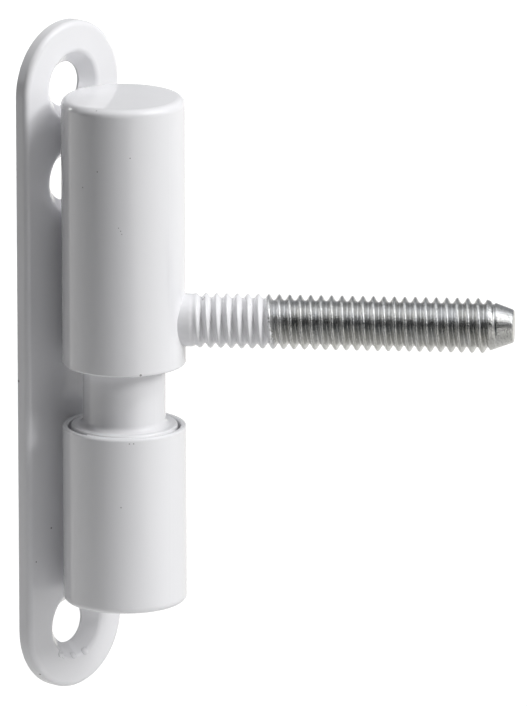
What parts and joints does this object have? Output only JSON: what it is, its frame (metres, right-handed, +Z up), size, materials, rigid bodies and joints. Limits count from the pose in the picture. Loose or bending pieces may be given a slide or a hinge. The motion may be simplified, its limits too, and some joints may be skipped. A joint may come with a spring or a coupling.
{
  "type": "lift-off door hinge",
  "caption": "White door hinge: a countersunk frame plate carries an upright pin, and a knuckle with a threaded stud for the door turns on the pin and lifts off it.",
  "frame": {"origin": "middle of the plate's back face", "axes": "+X out of the plate's front, +Z up along the pin, +Y across the plate's width"},
  "size_m": [0.0646, 0.0507, 0.11],
  "materials": {
    "powder_coat": "gloss white powder coat",
    "pin_steel": "gloss white powder coat on the neck and collar, bare steel on the bearing end",
    "brass": "plain turned brass",
    "bush_plastic": "plain moulded plastic",
    "zinc_plate": "bright zinc plating, with white powder coat over the threads beside the knuckle"
  },
  "bodies": {
    "frame_part": {"frame_plate": "powder_coat", "lower_knuckle": "powder_coat", "weld_seam": "powder_coat", "hinge_pin": "pin_steel"},
    "washer": {"thrust_washer": "brass"},
    "door_part": {"upper_knuckle": "powder_coat", "bearing_bush": "bush_plastic", "threaded_stud": "zinc_plate"}
  },
  "joints": [
    {"name": "swing", "type": "hinge", "parent": "frame_part", "child": "washer", "pos_m": [0.0132, 0, 0.0017], "axis": [0, 0, 1], "range_deg": [-147, 73]},
    {"name": "lift_off", "type": "slide", "parent": "washer", "child": "door_part", "axis": [0, 0, 1], "range_m": [0, 0.025]}
  ]
}
